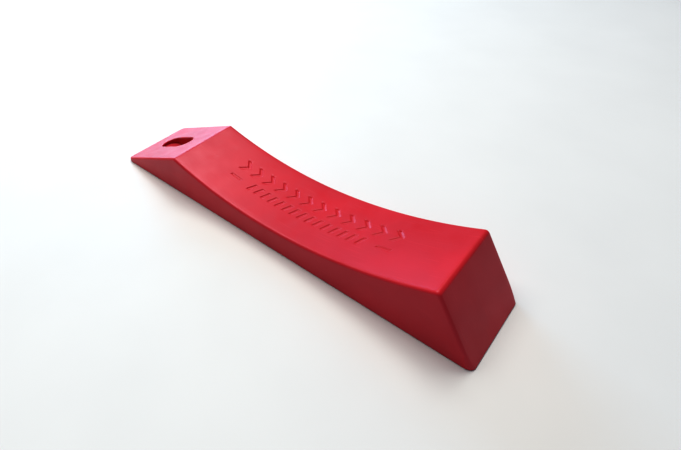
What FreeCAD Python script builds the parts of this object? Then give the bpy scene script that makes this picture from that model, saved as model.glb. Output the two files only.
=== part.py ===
import FreeCAD, Part
import math
import os

# Deadlift wedge: a barbell's end plate rolls up the ramp and settles in the saddle on top.
# The nose is at -X, the heel at +X, and the wedge rests on z = 0. Lengths in millimetres.

# Outside of the shell. Heights are above its rim, and x is counted from the tip.
length = 240.0
width = 48.0
tip_thickness = 1.2
ridge_x = 53.0
ridge_height = 24.0
heel_x = 220.0
heel_height = 33.5
saddle_radius = 238.0        # the 225 mm radius of a full-size plate, and room to roll in
side_draft = math.radians(0.5)

# Roundings of the shell's edges
heel_corner_radius = 2.0
tip_corner_radius = 4.0
top_edge_radius = 1.5
ridge_radius = 3.0
slot_lip_radius = 0.8

# Inside of the shell
wall = 4.0
rim_width = 2.5
rib_thickness = 2.5
rib_pitch = 26.0
rib_count = 7
first_rib_x = 58.0
boss_radius = 4.0

# Blind slot in the ramp, for a finger or a hook
slot_x = 25.2
slot_length = 26.0
slot_width = 13.2
slot_wall = 3.0

# Base plate
plate_thickness = 3.0
plate_front = 8.0
plate_rear = 234.0
plate_corner = 2.0
plate_gap = 0.2
pad_height = 1.1             # a pad on the plate reaches up into the slot and places the plate
pad_gap = 0.15

# Rubber strips, one along each side of the underside
strip_length = 208.0
strip_width = 11.0
strip_thickness = 2.0
strip_proud = 0.5
strip_x = 124.0
strip_y = 14.0
strip_border = 1.5
tread_pitch = 4.0
tread_width = 1.6
tread_depth = 0.6

# Countersunk self-tapping screws, 3.5 x 9.5
screw_count = 4
screw_length = 9.5
screw_radius = 1.75
screw_point = 1.5
screw_point_radius = 0.6
head_radius = 3.4
head_rim = 0.2
screw_gap = 0.05
plate_hole_radius = 1.95
boss_hole_depth = 10.5
recess_span = 3.4
recess_slot = 0.8
recess_depth = 1.2

# Shallow marks pressed into the saddle: a row of chevrons beside a row of slanted bars
# that has a dash at each end. Both rows are centred on mark_x.
mark_x = 135.5
mark_depth = 0.5
mark_slant = 0.35
chevron_count = 12
chevron_pitch = 9.2
chevron_height = 8.4
chevron_reach = 3.6
chevron_stroke = 2.2
chevron_y = 5.4
bar_count = 15
bar_pitch = 5.2
bar_height = 5.8
bar_stroke = 1.7
bar_y = -5.4
dash_length = 7.5
dash_width = 1.3
dash_reach = 49.0

# How far the cutting solids reach past the wedge
headroom = 6.0
margin = 1.0

# Worked out from the sizes above
half_width = width / 2
ramp_slope = (ridge_height - tip_thickness) / ridge_x
ramp_angle = math.atan(ramp_slope)
heel_slope = (length - heel_x) / heel_height
heel_angle = math.atan(heel_slope)
half_chord = math.hypot(heel_x - ridge_x, heel_height - ridge_height) / 2
chord_angle = math.atan2(heel_height - ridge_height, heel_x - ridge_x)
centre_rise = math.sqrt(saddle_radius ** 2 - half_chord ** 2)
saddle_x = (ridge_x + heel_x) / 2 - centre_rise * math.sin(chord_angle)
saddle_z = (ridge_height + heel_height) / 2 + centre_rise * math.cos(chord_angle)
screw_xs = [first_rib_x + 2 * rib_pitch * i for i in range(screw_count)]
above = heel_height + headroom


def at(x, y, z):
    """A point given from the tip and above the rim, in the part's own frame."""
    return FreeCAD.Vector(x - length / 2, y, z + strip_proud)


def prism(points, direction):
    """A straight-sided solid on a flat outline."""
    return Part.Face(Part.makePolygon(points + points[:1])).extrude(direction)


def block(x_low, x_high, y_low, y_high, z_low, z_high):
    """A box between two corners."""
    return Part.makeBox(x_high - x_low, y_high - y_low, z_high - z_low, at(x_low, y_low, z_low))


def obround(x, y, long, wide, z_low, z_high):
    """An upright block along X with round ends."""
    run = (long - wide) / 2
    solid = block(x - run, x + run, y - wide / 2, y + wide / 2, z_low, z_high)
    for end in (x - run, x + run):
        solid = solid.fuse(upright_rod(end, y, wide / 2, z_low, z_high))
    return solid.removeSplitter()


def upright_rod(x, y, radius, z_low, z_high):
    """A cylinder along Z."""
    return Part.makeCylinder(radius, z_high - z_low, at(x, y, z_low))


def saddle_cylinder(radius):
    """A cylinder across the wedge, about the saddle's axis."""
    start = at(saddle_x, -width, saddle_z)
    return Part.makeCylinder(radius, 2 * width, start, FreeCAD.Vector(0, 1, 0))


def wedge(inset, floor):
    """The wedge with its ramp, saddle, heel and sides moved in by inset, from floor up."""
    ramp_drop = tip_thickness - inset / math.cos(ramp_angle)
    heel_end = length - inset / math.cos(heel_angle)
    outline = [
        at(max((floor - ramp_drop) / ramp_slope, 0.0), -width, floor),
        at((above - ramp_drop) / ramp_slope, -width, above),
        at(heel_end - above * heel_slope, -width, above),
        at(heel_end - floor * heel_slope, -width, floor),
    ]
    if ramp_drop > floor:
        outline.insert(1, at(0, -width, ramp_drop))
    solid = prism(outline, FreeCAD.Vector(0, 2 * width, 0))
    solid = solid.cut(saddle_cylinder(saddle_radius + inset))
    side = half_width - inset
    lean = math.tan(side_draft)
    section = [
        at(-margin, -side + floor * lean, floor),
        at(-margin, side - floor * lean, floor),
        at(-margin, side - above * lean, above),
        at(-margin, -side + above * lean, above),
    ]
    return solid.common(prism(section, FreeCAD.Vector(length + 2 * margin, 0, 0)))


def edges_near(solid, points):
    """The edge nearest to each point, given from the tip and above the rim."""
    found = []
    for point in points:
        vertex = Part.Vertex(at(*point))
        found.append(min(solid.Edges, key=lambda edge: edge.distToShape(vertex)[0]))
    return found


def outside():
    """The shell's outside with its edges rounded."""
    solid = wedge(0.0, 0.0)
    heel_middle = (heel_x + length) / 2
    heel_corners = [(heel_middle, side * half_width, heel_height / 2) for side in (-1, 1)]
    tip_corners = [(0, side * half_width, tip_thickness / 2) for side in (-1, 1)]
    solid = solid.makeFillet(heel_corner_radius, edges_near(solid, heel_corners))
    solid = solid.makeFillet(tip_corner_radius, edges_near(solid, tip_corners))
    solid = solid.makeFillet(ridge_radius, edges_near(solid, [(ridge_x, 0, ridge_height)]))
    # The rounding of these edges runs on along the ramp's sides and round the tip
    rims = [(saddle_x, side * half_width, saddle_z - saddle_radius) for side in (-1, 1)]
    rims.append((heel_x, 0, heel_height))
    return solid.makeFillet(top_edge_radius, edges_near(solid, rims))


def chevron(x):
    """One chevron outline, pointing at the heel, as an upright prism through the saddle."""
    outline = []
    for start in (x, x + chevron_stroke):
        arm = [
            (start, chevron_y - chevron_height / 2),
            (start + chevron_reach, chevron_y),
            (start, chevron_y + chevron_height / 2),
        ]
        outline += arm if start == x else arm[::-1]
    return upright_prism(outline)


def slanted_bar(x, y, stroke, height):
    """One bar outline, leaning towards the heel, as an upright prism through the saddle."""
    lean = mark_slant * height / 2
    outline = [
        (x - stroke / 2 - lean, y - height / 2),
        (x + stroke / 2 - lean, y - height / 2),
        (x + stroke / 2 + lean, y + height / 2),
        (x - stroke / 2 + lean, y + height / 2),
    ]
    return upright_prism(outline)


def upright_prism(outline):
    """A prism on a flat outline, from the rim up through the saddle."""
    return prism([at(x, y, 0.0) for x, y in outline], FreeCAD.Vector(0, 0, above))


def marks():
    """The chevrons, bars and dashes, as thick as they are pressed into the saddle."""
    first_chevron = mark_x - (chevron_count - 1) * chevron_pitch / 2 - chevron_reach / 2
    pieces = [chevron(first_chevron + i * chevron_pitch) for i in range(chevron_count)]
    first_bar = mark_x - (bar_count - 1) * bar_pitch / 2
    for i in range(bar_count):
        pieces.append(slanted_bar(first_bar + i * bar_pitch, bar_y, bar_stroke, bar_height))
    for side in (-1, 1):
        pieces.append(slanted_bar(mark_x + side * dash_reach, bar_y, dash_length, dash_width))
    return Part.makeCompound(pieces).common(saddle_cylinder(saddle_radius + mark_depth))


def cavity():
    """The space inside the shell, around its ribs, screw bosses and slot sleeve."""
    space = wedge(wall, plate_thickness)
    stiffeners = [block(slot_x, length, -rib_thickness / 2, rib_thickness / 2, 0.0, above)]
    for i in range(rib_count):
        x = first_rib_x + i * rib_pitch
        stiffeners.append(
            block(x - rib_thickness / 2, x + rib_thickness / 2, -half_width, half_width, 0.0, above)
        )
    for x in screw_xs:
        stiffeners.append(upright_rod(x, 0, boss_radius, 0.0, above))
    sleeve_length = slot_length + 2 * slot_wall
    sleeve_width = slot_width + 2 * slot_wall
    stiffeners.append(obround(slot_x, 0, sleeve_length, sleeve_width, 0.0, above))
    return space.cut(stiffeners)


def plate_outline(grow, z_low, z_high):
    """The base plate's outline, grown by a gap all round."""
    solid = block(
        plate_front - grow, plate_rear + grow,
        rim_width - half_width - grow, half_width - rim_width + grow, z_low, z_high,
    )
    corners = [edge for edge in solid.Edges if abs(edge.tangentAt(0).z) > 0.5]
    return solid.makeFillet(plate_corner + grow, corners)


def slot():
    """The space of the slot, up through the ramp."""
    return obround(slot_x, 0, slot_length, slot_width, 0.0, above)


def wedge_shell():
    """The moulded body, open underneath, with the base plate's recess in its rim."""
    solid = outside().cut(marks()).cut(slot())
    ramp_height = tip_thickness + ramp_slope * slot_x
    lip = [(slot_x, side * slot_width / 2, ramp_height) for side in (-1, 1)]
    slot_ends = (slot_x - slot_length / 2, slot_x + slot_length / 2)
    lip += [(x, 0, tip_thickness + ramp_slope * x) for x in slot_ends]
    solid = solid.makeFillet(slot_lip_radius, edges_near(solid, lip))
    solid = solid.cut(cavity())
    solid = solid.cut(plate_outline(plate_gap, 0.0, plate_thickness))
    holes = [upright_rod(x, 0, screw_radius + screw_gap, 0.0, boss_hole_depth) for x in screw_xs]
    return solid.cut(holes)


def base_plate():
    """The plate that closes the shell, with its pad, the strips' grooves and countersunk holes."""
    pad = obround(
        slot_x, 0, slot_length - 2 * pad_gap, slot_width - 2 * pad_gap,
        plate_thickness / 2, plate_thickness + pad_height,
    )
    solid = plate_outline(0.0, 0.0, plate_thickness).fuse(pad)
    cuts = []
    for side in (-1, 1):
        cuts.append(
            obround(
                strip_x, side * strip_y, strip_length, strip_width,
                0.0, strip_thickness - strip_proud,
            )
        )
    for x in screw_xs:
        cuts.append(upright_rod(x, 0, plate_hole_radius, 0.0, plate_thickness))
        cuts.append(screw_head(x, screw_gap))
    return solid.cut(cuts)


def grip_strip(side):
    """One rubber strip with a tread of short cross grooves inside a plain border."""
    solid = obround(
        strip_x, side * strip_y, strip_length, strip_width,
        -strip_proud, strip_thickness - strip_proud,
    )
    tread_span = strip_length - strip_width
    tread_count = int(tread_span / tread_pitch) + 1
    first = strip_x - (tread_count - 1) * tread_pitch / 2
    reach = strip_width / 2 - strip_border
    grooves = []
    for i in range(tread_count):
        x = first + i * tread_pitch
        grooves.append(
            block(
                x - tread_width / 2, x + tread_width / 2,
                side * strip_y - reach, side * strip_y + reach,
                -strip_proud, tread_depth - strip_proud,
            )
        )
    return solid.cut(grooves)


def screw_head(x, grow):
    """The countersunk head: a thin rim and a 90 degree cone down to the shank."""
    rim = upright_rod(x, 0, head_radius + grow, 0.0, head_rim)
    drop = head_radius - screw_radius
    cone = Part.makeCone(head_radius + grow, screw_radius + grow, drop, at(x, 0, head_rim))
    return rim.fuse(cone)


def base_screw(x):
    """One self-tapping screw, driven from below, with a cross recess in its head."""
    shank = upright_rod(x, 0, screw_radius, head_rim, screw_length - screw_point)
    point = Part.makeCone(
        screw_radius, screw_point_radius, screw_point, at(x, 0, screw_length - screw_point)
    )
    solid = screw_head(x, 0.0).fuse([shank, point])
    half_span = recess_span / 2
    half_slot = recess_slot / 2
    recess = block(x - half_span, x + half_span, -half_slot, half_slot, 0.0, recess_depth)
    crossing = block(x - half_slot, x + half_slot, -half_span, half_span, 0.0, recess_depth)
    return solid.cut(recess.fuse(crossing))


sub_parts = {
    "wedge_shell": wedge_shell(),
    "base_plate": base_plate(),
    "left_grip_strip": grip_strip(1),
    "right_grip_strip": grip_strip(-1),
}
for number, x in enumerate(screw_xs, start=1):
    sub_parts[f"base_screw_{number}"] = base_screw(x)

os.makedirs("parts", exist_ok=True)
for node, shape in sub_parts.items():
    shape.exportStep(f"parts/{node}.step")
    solids = len(shape.Solids)
    print(f"{node}: {solids} solid, valid {shape.isValid()}, {shape.Volume / 1000:.2f} cm3")
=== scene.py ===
import bmesh
import bpy
import math
import numpy as np
from mathutils import Matrix, Vector


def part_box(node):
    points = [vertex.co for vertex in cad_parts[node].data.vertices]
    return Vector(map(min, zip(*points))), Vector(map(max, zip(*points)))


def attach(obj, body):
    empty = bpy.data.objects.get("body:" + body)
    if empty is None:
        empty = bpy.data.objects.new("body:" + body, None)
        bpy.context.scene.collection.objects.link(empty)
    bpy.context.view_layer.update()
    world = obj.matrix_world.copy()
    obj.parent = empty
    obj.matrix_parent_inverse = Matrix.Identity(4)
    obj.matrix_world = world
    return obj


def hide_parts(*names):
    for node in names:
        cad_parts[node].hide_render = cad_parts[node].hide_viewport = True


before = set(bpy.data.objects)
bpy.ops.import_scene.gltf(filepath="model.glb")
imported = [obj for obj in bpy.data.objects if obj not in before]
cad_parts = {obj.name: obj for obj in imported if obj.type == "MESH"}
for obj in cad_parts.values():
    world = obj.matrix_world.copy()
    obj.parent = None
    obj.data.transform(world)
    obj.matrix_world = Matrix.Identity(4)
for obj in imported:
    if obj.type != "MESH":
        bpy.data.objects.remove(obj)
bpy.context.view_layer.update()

# Sizes in millimetres, as the part itself has them: x is counted from the tip, z from the rim.
MM = 0.001
length = 240.0
width = 48.0
tip_thickness = 1.2
ridge = np.array([53.0, 24.0])
heel = np.array([220.0, 33.5])
saddle_radius = 238.0
side_draft = math.tan(math.radians(0.5))
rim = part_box("wedge_shell")[0][2] / MM

# Roundings. The heel's upright corners are as sharp as the side edges for foot_share of the
# way down, and grow to heel_foot at the rim.
tip_radius = 1.0
tip_side_edge = 1.0
tip_lean = 0.12
tip_corner = 4.0
ridge_radius = 3.0
heel_top_radius = 2.2
side_edge = 1.6
heel_foot = 3.2
foot_share = 0.7

# Slot in the ramp, and the recess that the base plate sits in
slot_x = 25.2
slot_length = 26.0
slot_width = 13.2
slot_lip = 0.9
plate_box = [np.array(corner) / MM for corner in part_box("base_plate")]
plate_thickness = 3.0
plate_gap = 0.2
plate_corner = 2.0

# Marks pressed into the saddle, in rows centred on mark_x. A stroke is measured along x.
mark_x = 135.5
mark_depth = 0.5
mark_softness = 0.6
mark_slant = 0.35
chevrons = {"count": 12, "pitch": 9.2, "height": 8.4, "stroke": 2.2, "y": 5.4}
chevron_reach = 3.6
bars = {"count": 15, "pitch": 5.2, "height": 5.8, "stroke": 1.7, "y": -5.4}
dashes = {"count": 2, "pitch": 98.0, "height": 1.3, "stroke": 7.5, "y": -5.4}

# How finely the shell is divided: lengths in millimetres, then counts
fine_step = 0.28             # round the marks and, across the wedge, within fine_reach
fine_reach = 9.9
coarse_step = 1.6
ramp_step = 1.0
outline_step = 3.0           # round the base plate's recess
edge_margin = 4.5            # the coarse lines stop this far from the sides
patch_margin = 3.0           # the slot's rings start this far from its ends
tip_points = 8
ridge_points = 12
heel_top_points = 14
corner_points = 8
edge_rows = 8
wall_rows = 7
heel_rows = 19
slot_rows = 6
slot_wall_rows = 5

# The shading creases at edges that turn by more than sharp_angle, in degrees, and points
# nearer than weld_distance, in millimetres, become one
sharp_angle = 34.0
weld_distance = 0.004


# ---------------------------------------------------------------- side profile of the shell

def unit(vector):
    return vector / np.hypot(*vector)


def outward(way):
    """The normal on the left of a way from the tip towards the heel."""
    return np.array([-way[1], way[0]])


ramp_foot = np.array([0.0, tip_thickness])
ramp_way = unit(ridge - ramp_foot)
ramp_out = outward(ramp_way)
heel_way = unit(np.array([length, 0.0]) - heel)
heel_out = outward(heel_way)
saddle_centre = (ridge + heel) / 2 + outward(unit(heel - ridge)) * math.sqrt(
    saddle_radius ** 2 - (heel - ridge) @ (heel - ridge) / 4
)


def ramp_height(x):
    return tip_thickness + x * ramp_way[1] / ramp_way[0]


def rounding_centre(point, way, out, radius, last):
    """Centre of the rounding between a straight face and the saddle."""
    offset = point - out * radius - saddle_centre
    middle = -offset @ way
    reach = math.sqrt(middle ** 2 - offset @ offset + (saddle_radius + radius) ** 2)
    return saddle_centre + offset + way * (middle + reach if last else middle - reach)


def spaced(low, high, step):
    """Evenly spaced numbers from low to high, about a step apart."""
    return np.linspace(low, high, max(round((high - low) / step), 1) + 1)


def shares(count):
    """Even steps from 0 to 1, without the 0."""
    return np.linspace(0, 1, count + 1)[1:]


def turned(start, end, count):
    """Normals evenly turned from one to another."""
    low, high = math.atan2(start[1], start[0]), math.atan2(end[1], end[0])
    return [np.array([math.cos(a), math.sin(a)]) for a in np.linspace(low, high, count)]


def rounding(centre, radius, start, end, count, edge):
    """Stations round a rounding, from one normal to another."""
    return [(centre + radius * normal, normal, edge) for normal in turned(start, end, count)]


def between(stops, steps):
    """Numbers inside the first and last stops, with every other stop among them."""
    numbers = []
    for low, high, step in zip(stops, stops[1:], steps):
        numbers += list(spaced(low, high, step)[:-1])
    return numbers[1:]


def tip_stations():
    """The blunt tip, which leans back a little, and its rounding, which touches the ramp too."""
    tip_out = unit(np.array([-1.0, tip_lean]))
    gain = tip_thickness - tip_radius / ramp_way[0]
    centre_x = -tip_radius * tip_out[0] + tip_lean * (tip_radius * tip_out[1] + gain)
    centre_x /= 1 - tip_lean * ramp_way[1] / ramp_way[0]
    centre = np.array([centre_x, ramp_height(centre_x) - tip_radius / ramp_way[0]])
    tip_top = centre + tip_radius * tip_out
    face = [(tip_top * share, tip_out, tip_side_edge) for share in (0.0, 0.5)]
    return face + rounding(centre, tip_radius, tip_out, ramp_out, tip_points, tip_side_edge)


def side_profile():
    """Stations from the foot of the tip to the top of the heel face.

    Each has a point, its outward normal and the radius of the side edge there."""
    stations = tip_stations()
    ridge_centre = rounding_centre(ramp_foot, ramp_way, ramp_out, ridge_radius, last=False)
    start = stations[-1][0][0]
    end = ridge_centre[0] + ramp_out[0] * ridge_radius
    patch = slot_length / 2 + patch_margin
    for x in between([start, slot_x - patch, slot_x + patch, end], [ramp_step] * 3):
        grown = min((x - start) / slot_x, 1.0)
        edge = tip_side_edge + (side_edge - tip_side_edge) * grown
        stations.append((np.array([x, ramp_height(x)]), ramp_out, edge))

    saddle_start = unit(saddle_centre - ridge_centre)
    stations += rounding(ridge_centre, ridge_radius, ramp_out, saddle_start, ridge_points, side_edge)
    heel_centre = rounding_centre(heel, heel_way, heel_out, heel_top_radius, last=True)
    saddle_end = unit(saddle_centre - heel_centre)
    reach = dashes["pitch"] / 2 + dashes["stroke"]
    stops = [
        saddle_centre[0] - saddle_radius * saddle_start[0], mark_x - reach,
        mark_x + reach, saddle_centre[0] - saddle_radius * saddle_end[0],
    ]
    for x in between(stops, [coarse_step, fine_step, coarse_step]):
        z = saddle_centre[1] - math.sqrt(saddle_radius ** 2 - (x - saddle_centre[0]) ** 2)
        point = np.array([x, z])
        stations.append((point, unit(saddle_centre - point), side_edge))
    return stations + rounding(
        heel_centre, heel_top_radius, saddle_end, heel_out, heel_top_points, side_edge
    )


# ---------------------------------------------------------------- marks in the saddle

def mark_row(x, y, row, lean, steepness):
    """Signed distance to a row of like marks.

    lean is how far a mark's middle has moved along x, and steepness how fast it moves with y."""
    first = mark_x - (row["count"] - 1) * row["pitch"] / 2
    number = np.clip(np.round((x - lean - first) / row["pitch"]), 0, row["count"] - 1)
    across = np.abs(x - lean - first - number * row["pitch"]) - row["stroke"] / 2
    along = np.abs(y - row["y"]) - row["height"] / 2
    return np.maximum(across * math.cos(math.atan(steepness)), along)


def pressed_in(x, y):
    """How deep the saddle is pressed in at each point, with soft edges."""
    half_height = chevrons["height"] / 2
    lean = chevron_reach * (0.5 - np.abs(y - chevrons["y"]) / half_height)
    distance = mark_row(x, y, chevrons, lean, chevron_reach / half_height)
    for row in (bars, dashes):
        lean = mark_slant * (y - row["y"])
        distance = np.minimum(distance, mark_row(x, y, row, lean, mark_slant))
    cover = np.clip(0.5 - distance / mark_softness, 0.0, 1.0)
    return mark_depth * cover * cover * (3 - 2 * cover)


# ---------------------------------------------------------------- the shell's mesh

def shell_columns():
    """(fixed y, side, turn) for each line along the shell, from one side edge to the other.

    The lines on the flat have a fixed y. Those on a side edge have the turn of the edge there."""
    rest = spaced(fine_reach, width / 2 - edge_margin, coarse_step)[1:]
    middle = spaced(-fine_reach, fine_reach, fine_step)
    turns = np.linspace(0, math.pi / 2, edge_rows + 1)
    columns = [(0.0, -1, turn) for turn in turns[::-1]]
    columns += [(y, 0, 0.0) for y in (*-rest[::-1], *middle, *rest)]
    return columns + [(0.0, 1, turn) for turn in turns]


def edge_point(point, normal, edge, y, side, turn):
    """A point of the skin at a station, on the flat or on a side's rounding."""
    half = width / 2 - point[1] * side_draft
    x, z = point - normal * edge * (1 - math.cos(turn))
    return (x, side * (half - edge + edge * math.sin(turn)) if side else y, max(z, 0.0))


def top_skin(columns, stations):
    """The tip, the ramp and the saddle with its marks, as rows of points across the shell."""
    skin = np.array([[edge_point(*station, *column) for column in columns] for station in stations])
    normals = np.array([normal for _, normal, _ in stations])
    pressed = pressed_in(skin[:, :, 0], skin[:, :, 1])
    skin[:, :, 0] -= pressed * normals[:, None, 0]
    skin[:, :, 2] -= pressed * normals[:, None, 1]
    return skin


def heel_skin(columns, top):
    """The heel face: rows that all end on the rim, whatever the turn of the corner."""
    rows = []
    for share in shares(heel_rows):
        grown = max(share - foot_share, 0) / (1 - foot_share)
        edge = side_edge + (heel_foot - side_edge) * grown ** 2
        row = []
        for y, side, turn in columns:
            drop = heel_foot * (1 - math.cos(turn))
            run = (top[1] - heel_out[1] * drop) / -heel_way[1]
            point = top + heel_way * run * share
            row.append(edge_point(point, heel_out, edge, y, side, turn))
        rows.append(row)
    return np.array(rows)


def side_wall(upper):
    """The side wall's lines, straight down from a side edge to the rim."""
    wall = np.stack([upper] * wall_rows, axis=1)
    wall[:, :, 2] *= 1 - shares(wall_rows)
    wall[:, :, 1] = np.sign(upper[0, 1]) * (width / 2 - wall[:, :, 2] * side_draft)
    return wall


def round_tip_corners(skin):
    """Draws the two square corners of the tip in to round ones, seen from above."""
    x, y, z = (skin[:, :, k] for k in range(3))
    ahead = np.clip(1 - x / tip_corner, 0, 1)
    aside = np.clip(1 - (width / 2 - abs(y)) / tip_corner, 0, 1)
    new_x = x + tip_corner * ahead * (1 - np.sqrt(1 - aside ** 2 / 2))
    new_y = y - np.sign(y) * tip_corner * aside * (1 - np.sqrt(1 - ahead ** 2 / 2))
    return np.stack([new_x, new_y, z * ramp_height(new_x) / ramp_height(x)], -1)


def nearest(values, target):
    return int(np.argmin(abs(values - target)))


def open_patch(skin):
    """The faces of the skin without a patch round the slot, and the points round that patch."""
    rows, across = skin.shape[:2]
    grid = np.arange(rows * across).reshape(rows, across)
    patch = slot_length / 2 + patch_margin
    first, last = (nearest(skin[:, across // 2, 0], slot_x + side * patch) for side in (-1, 1))
    left, right = (nearest(skin[first, :, 1], side * fine_reach) for side in (-1, 1))
    inside = np.zeros((rows - 1, across - 1), bool)
    inside[first:last, left:right] = True
    quads = np.stack([grid[:-1, :-1], grid[:-1, 1:], grid[1:, 1:], grid[1:, :-1]], -1)
    around = [
        *grid[first, left:right], *grid[first:last, right],
        *grid[last, right:left:-1], *grid[last:first:-1, left],
    ]
    return quads[~inside].tolist(), around


def slot_rings(patch):
    """Rings from the patch's edge on the ramp in to the slot, over its lip and down its wall."""
    run = (slot_length - slot_width) / 2
    flat = patch[:, :2] - (slot_x, 0)
    spine = np.stack([np.clip(flat[:, 0], -run, run), np.zeros(len(flat))], 1)
    away = flat - spine
    away /= np.linalg.norm(away, axis=1, keepdims=True)
    edge = spine + away * slot_width / 2
    lip = edge + away * slot_lip

    def on_ramp(plan):
        x = plan[:, 0] + slot_x
        return np.stack([x, plan[:, 1], ramp_height(x)], 1)

    start, corner = on_ramp(lip), on_ramp(edge)
    end = corner - (0, 0, slot_lip)
    foot = end.copy()
    foot[:, 2] = plate_thickness
    rings = [on_ramp(flat + (lip - flat) * t) for t in shares(slot_rows)]
    for t in shares(slot_rows):
        rings.append(start * (1 - t) ** 2 + corner * 2 * t * (1 - t) + end * t ** 2)
    return rings + [end + (foot - end) * t for t in shares(slot_wall_rows)]


def rounded_rectangle(low, high, corner, z):
    """A closed row of points round a rectangle with round corners."""
    arcs = []
    for quarter, (at_high_x, at_high_y) in enumerate(((1, 1), (0, 1), (0, 0), (1, 0))):
        x = high[0] - corner if at_high_x else low[0] + corner
        y = high[1] - corner if at_high_y else low[1] + corner
        angles = np.linspace(quarter, quarter + 1, corner_points) * math.pi / 2
        arcs.append([np.array([x + corner * math.cos(a), y + corner * math.sin(a), z]) for a in angles])
    points = []
    for arc, following in zip(arcs, arcs[1:] + arcs[:1]):
        start, end = arc[-1], following[0]
        steps = spaced(0.0, 1.0, outline_step / math.dist(start, end))[1:-1]
        points += arc + [start + (end - start) * t for t in steps]
    return points


def placed(points):
    """Points given from the tip and the rim, in the frame's metres."""
    return np.array(points) * MM + (-length / 2 * MM, 0, rim * MM)


def add_points(points, line):
    """Adds a line of points, and gives their numbers."""
    points.extend(line)
    return list(range(len(points) - len(line), len(points)))


def band(outer, inner):
    """Faces between two closed rings with the same number of points."""
    following = zip(outer[1:] + outer[:1], inner[1:] + inner[:1])
    return [[a, b, c, d] for a, d, (b, c) in zip(outer, inner, following)]


def wedge_shell():
    """The outside of the moulded body, its slot and the recess under it, as one closed mesh."""
    columns = shell_columns()
    stations = side_profile()
    skin = np.concatenate([top_skin(columns, stations), heel_skin(columns, stations[-1][0])])
    walls = [side_wall(skin[:, 0])[:, ::-1], side_wall(skin[:, -1])]
    skin = round_tip_corners(np.concatenate([walls[0], skin, walls[1]], axis=1))

    faces, ring = open_patch(skin)
    points = list(skin.reshape(-1, 3))
    for line in slot_rings(np.array([points[i] for i in ring])):
        inner = add_points(points, line)
        faces += band(ring, inner)
        ring = inner

    low, high = (corner + (length / 2, 0, -rim) for corner in plate_box)
    grow = np.array([plate_gap, plate_gap, 0])
    recess = [
        add_points(points, rounded_rectangle(low - grow, high + grow, plate_corner + plate_gap, z))
        for z in (0.0, plate_thickness)
    ]
    faces += band(*recess)

    mesh = bpy.data.meshes.new("wedge_shell_skin")
    mesh.from_pydata(placed(points).tolist(), [], faces)
    close_underside(mesh)
    mesh.polygons.foreach_set("use_smooth", [True] * len(mesh.polygons))
    mesh.set_sharp_from_angle(angle=math.radians(sharp_angle))
    return new_piece("moulded_shell", mesh)


def close_underside(mesh):
    """Fills the rim's face and the ceiling of the recess, each between two open edges.

    It also drops the points that have no face, which the skin had inside the slot's patch."""
    soup = bmesh.new()
    soup.from_mesh(mesh)
    bmesh.ops.remove_doubles(soup, verts=soup.verts, dist=weld_distance * MM)
    loops = {"rim": [], "recess_low": [], "recess_high": [], "slot": []}
    margin = 2 * plate_gap
    for vert in soup.verts:
        if not vert.is_boundary:
            continue
        x, y, z = vert.co / MM
        in_plate = plate_box[0][0] - margin < x < plate_box[1][0] + margin
        in_plate &= abs(y) < plate_box[1][1] + margin
        in_slot = abs(x + length / 2 - slot_x) < slot_length / 2 + plate_gap
        in_slot &= abs(y) < slot_width / 2 + margin
        if z < rim + plate_thickness / 2:
            loops["recess_low" if in_plate else "rim"].append(vert)
        else:
            loops["slot" if in_slot else "recess_high"].append(vert)
    fill_between(soup, loops["rim"], loops["recess_low"])
    fill_between(soup, loops["recess_high"], loops["slot"])
    bmesh.ops.recalc_face_normals(soup, faces=soup.faces)
    bmesh.ops.delete(soup, geom=[vert for vert in soup.verts if not vert.link_faces], context="VERTS")
    soup.to_mesh(mesh)
    soup.free()


def fill_between(soup, outer, inner):
    """Triangles between two level, nested, convex loops, taken in step round the slot."""
    def angle(vert):
        return math.atan2(vert.co.y, vert.co.x + (length / 2 - slot_x) * MM)

    loops = [sorted(outer, key=angle), sorted(inner, key=angle)]
    steps = [(angle(vert), which) for which in (0, 1) for vert in loops[which]]
    at = [len(loop) - 1 for loop in loops]
    for _, which in sorted(steps):
        loop, other = loops[which], loops[1 - which]
        ahead = (at[which] + 1) % len(loop)
        soup.faces.new((loop[at[which]], loop[ahead], other[at[1 - which]]))
        at[which] = ahead


def new_piece(name, mesh):
    piece = bpy.data.objects.new(name, mesh)
    bpy.context.scene.collection.objects.link(piece)
    return piece


# ---------------------------------------------------------------- materials

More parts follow.
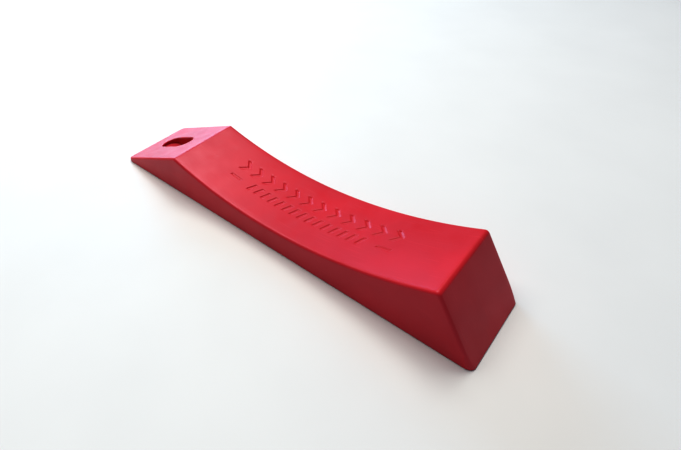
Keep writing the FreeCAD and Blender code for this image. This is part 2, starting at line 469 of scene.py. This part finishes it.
class Surface:
    """A procedural material whose patterns are sized in millimetres on the part itself."""

    def __init__(self, name, colour, roughness, metallic=0.0, ior=1.45):
        self.material = bpy.data.materials.new(name)
        self.material.use_nodes = True
        self.tree = self.material.node_tree
        self.shader = self.tree.nodes["Principled BSDF"]
        self.shader.inputs["Base Color"].default_value = (*colour, 1.0)
        self.shader.inputs["Roughness"].default_value = roughness
        self.shader.inputs["Metallic"].default_value = metallic
        self.shader.inputs["IOR"].default_value = ior
        self.coordinates = self.tree.nodes.new("ShaderNodeTexCoord").outputs["Object"]
        self.bump = None

    def link(self, start, end):
        self.tree.links.new(start, end)

    def noise(self, size, detail, stretch=(1, 1, 1), shift=0.0):
        """Noise with features of about that size in millimetres, stretched along the axes."""
        mapping = self.tree.nodes.new("ShaderNodeMapping")
        mapping.inputs["Scale"].default_value = [1 / (MM * size * s) for s in stretch]
        mapping.inputs["Location"].default_value = (shift, shift, shift)
        node = self.tree.nodes.new("ShaderNodeTexNoise")
        node.inputs["Scale"].default_value = 1.0
        node.inputs["Detail"].default_value = detail
        self.link(self.coordinates, mapping.inputs["Vector"])
        self.link(mapping.outputs["Vector"], node.inputs["Vector"])
        return node.outputs["Fac"]

    def ranged(self, value, start, end):
        """A value moved from the range start to the range end."""
        node = self.tree.nodes.new("ShaderNodeMapRange")
        for key, number in zip(("From Min", "From Max", "To Min", "To Max"), (*start, *end)):
            node.inputs[key].default_value = number
        self.link(value, node.inputs["Value"])
        return node.outputs["Result"]

    def maths(self, operation, first, second):
        """A sum or product of two values. A value is a number or a socket."""
        node = self.tree.nodes.new("ShaderNodeMath")
        node.operation = operation
        for socket, value in zip(node.inputs, (first, second)):
            if isinstance(value, float):
                socket.default_value = value
            else:
                self.link(value, socket)
        return node.outputs["Value"]

    def mixed(self, amount, first, second):
        """Two colours mixed by an amount. A colour is three numbers or a socket."""
        node = self.tree.nodes.new("ShaderNodeMix")
        node.data_type = "RGBA"
        self.link(amount, node.inputs["Factor"])
        for socket, colour in ((node.inputs[6], first), (node.inputs[7], second)):
            if isinstance(colour, (tuple, list)):
                socket.default_value = (*colour, 1.0)
            else:
                self.link(colour, socket)
        return node.outputs[2]

    def set_colour(self, value):
        self.link(value, self.shader.inputs["Base Color"])

    def set_roughness(self, value):
        self.link(value, self.shader.inputs["Roughness"])

    def add_bump(self, height, depth):
        """Relief of that many millimetres, on top of any added before."""
        node = self.tree.nodes.new("ShaderNodeBump")
        node.inputs["Distance"].default_value = depth * MM
        self.link(height, node.inputs["Height"])
        if self.bump:
            self.link(self.bump, node.inputs["Normal"])
        self.bump = node.outputs["Normal"]
        self.link(self.bump, self.shader.inputs["Normal"])


def moulded_red(name, colour, roughness, grain):
    """Moulded red plastic with a spark-eroded grain, slight waves and rolling scuffs.

    grain is the depth of the grain in millimetres."""
    surface = Surface(name, colour, roughness, ior=1.42)
    surface.shader.inputs["Specular Tint"].default_value = (0.9, 0.74, 1.0, 1.0)
    darker = [channel * 0.88 for channel in colour]
    paler = [min(channel * 1.05 + 0.02, 1.0) for channel in colour]
    clouds = surface.ranged(surface.noise(38.0, 3.0), (0.35, 0.65), (0.0, 1.0))
    scuffs = surface.noise(0.9, 3.0, stretch=(26, 1, 8), shift=5.0)
    scuffs = surface.ranged(scuffs, (0.60, 0.74), (0.0, 1.0))
    body = surface.mixed(clouds, colour, darker)
    surface.set_colour(surface.mixed(surface.maths("MULTIPLY", scuffs, 0.35), body, paler))
    patches = (roughness - 0.05, roughness + 0.05)
    patches = surface.ranged(surface.noise(9.0, 4.0), (0.3, 0.7), patches)
    surface.set_roughness(surface.maths("ADD", patches, surface.maths("MULTIPLY", scuffs, 0.06)))
    surface.add_bump(surface.noise(0.35, 2.0), grain)
    surface.add_bump(surface.noise(14.0, 1.0), 0.05)
    surface.add_bump(scuffs, 0.004)
    return surface.material


def strip_rubber():
    """Matt black rubber with a dusty bloom."""
    surface = Surface("strip_rubber", (0.028, 0.028, 0.03), 0.78)
    bloom = surface.ranged(surface.noise(6.0, 5.0), (0.4, 0.7), (0.0, 1.0))
    surface.set_colour(surface.mixed(bloom, (0.022, 0.022, 0.024), (0.05, 0.05, 0.052)))
    surface.set_roughness(surface.ranged(surface.noise(2.0, 3.0), (0.3, 0.7), (0.7, 0.9)))
    surface.add_bump(surface.noise(0.4, 3.0), 0.05)
    return surface.material


def zinc_steel():
    """Zinc-plated screw steel, slightly cloudy."""
    surface = Surface("zinc_steel", (0.6, 0.6, 0.58), 0.34, metallic=1.0)
    cloud = surface.ranged(surface.noise(1.6, 4.0), (0.3, 0.7), (0.0, 1.0))
    surface.set_colour(surface.mixed(cloud, (0.66, 0.66, 0.64), (0.5, 0.51, 0.52)))
    surface.set_roughness(surface.ranged(surface.noise(0.8, 2.0), (0.3, 0.7), (0.26, 0.42)))
    surface.add_bump(surface.noise(0.25, 2.0), 0.01)
    return surface.material


def floor_paper():
    """Pale paper with a faint mottle."""
    surface = Surface("floor_paper", (0.72, 0.715, 0.735), 0.6)
    tone = surface.ranged(surface.noise(60.0, 3.0), (0.3, 0.7), (0.0, 1.0))
    surface.set_colour(surface.mixed(tone, (0.73, 0.725, 0.745), (0.71, 0.705, 0.725)))
    return surface.material


def dress(node, material):
    """Gives a CAD node another material in its own slots."""
    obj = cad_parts[node]
    for part_slot in obj.material_slots:
        part_slot.link = "OBJECT"
        part_slot.material = material


# ---------------------------------------------------------------- pieces

shell = wedge_shell()
shell.data.materials.append(moulded_red("shell_red", (0.61, 0.027, 0.041), 0.34, grain=0.012))
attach(shell, "root")
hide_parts("wedge_shell")

dress("base_plate", moulded_red("plate_red", (0.54, 0.018, 0.034), 0.5, grain=0.03))
rubber = strip_rubber()
for node in ("left_grip_strip", "right_grip_strip"):
    dress(node, rubber)
zinc = zinc_steel()
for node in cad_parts:
    if node.startswith("base_screw"):
        dress(node, zinc)


# ---------------------------------------------------------------- floor, light and camera

# In metres: half the floor's width, and how far the lights stand from the part's origin
floor_reach = 4.0
light_distance = 1.2


def floor():
    mesh = bpy.data.meshes.new("floor")
    corners = [(x * floor_reach, y * floor_reach, 0) for x, y in ((-1, -1), (1, -1), (1, 1), (-1, 1))]
    mesh.from_pydata(corners, [], [(0, 1, 2, 3)])
    mesh.materials.append(floor_paper())
    new_piece("floor", mesh)


def direction(azimuth, height):
    """The way to a place at an azimuth from +X and a height above the floor, in degrees."""
    azimuth, height = math.radians(azimuth), math.radians(height)
    level = math.cos(height)
    return Vector((math.cos(azimuth) * level, math.sin(azimuth) * level, math.sin(height)))


def soft_light(name, azimuth, height, size, power, tint):
    """A square soft light, its side in metres and its power in watts, that shines at the part."""
    data = bpy.data.lights.new(name, "AREA")
    data.size = size
    data.energy = power
    data.color = tint
    way = direction(azimuth, height)
    light = bpy.data.objects.new(name, data)
    light.location = way * light_distance
    light.rotation_euler = (-way).to_track_quat("-Z", "Y").to_euler()
    bpy.context.scene.collection.objects.link(light)


def surroundings(colour, strength):
    world = bpy.data.worlds.new("studio")
    world.use_nodes = True
    background = world.node_tree.nodes["Background"]
    background.inputs["Color"].default_value = (*colour, 1.0)
    background.inputs["Strength"].default_value = strength
    bpy.context.scene.world = world


def camera(place, azimuth, tilt, roll, lens, shift):
    """A camera that looks along an azimuth from +X, tilted down, with a slight roll.

    place is in millimetres, the angles are in degrees, and shift is a share of the picture's width."""
    ahead = direction(azimuth, -tilt)
    level = ahead.cross(Vector((0, 0, 1))).normalized()
    above = level.cross(ahead)
    roll = math.radians(roll)
    right = level * math.cos(roll) + above * math.sin(roll)
    up = above * math.cos(roll) - level * math.sin(roll)
    data = bpy.data.cameras.new("camera")
    data.lens = lens
    data.sensor_width = 36.0
    data.shift_x, data.shift_y = shift
    data.clip_start = 0.01
    eye = bpy.data.objects.new("camera", data)
    turn = Matrix((right, up, -ahead)).transposed().to_4x4()
    eye.matrix_world = Matrix.Translation(Vector(place) * MM) @ turn
    bpy.context.scene.collection.objects.link(eye)
    bpy.context.scene.camera = eye


floor()
soft_light("behind", azimuth=130, height=64, size=0.55, power=8.8, tint=(1.0, 1.0, 0.9))
soft_light("left", azimuth=190, height=64, size=0.55, power=7.6, tint=(1.0, 1.0, 0.9))
soft_light("low", azimuth=152, height=15, size=0.65, power=5.6, tint=(0.55, 1.04, 1.5))
surroundings((0.92, 0.91, 1.0), strength=0.27)
camera(
    place=(145.49, -160.65, 196.77), azimuth=133.506, tilt=35.078, roll=-2.996,
    lens=27.04, shift=(0.0960, -0.1046),
)
bpy.context.scene.view_settings.view_transform = "Standard"
bpy.context.scene.view_settings.gamma = 0.7
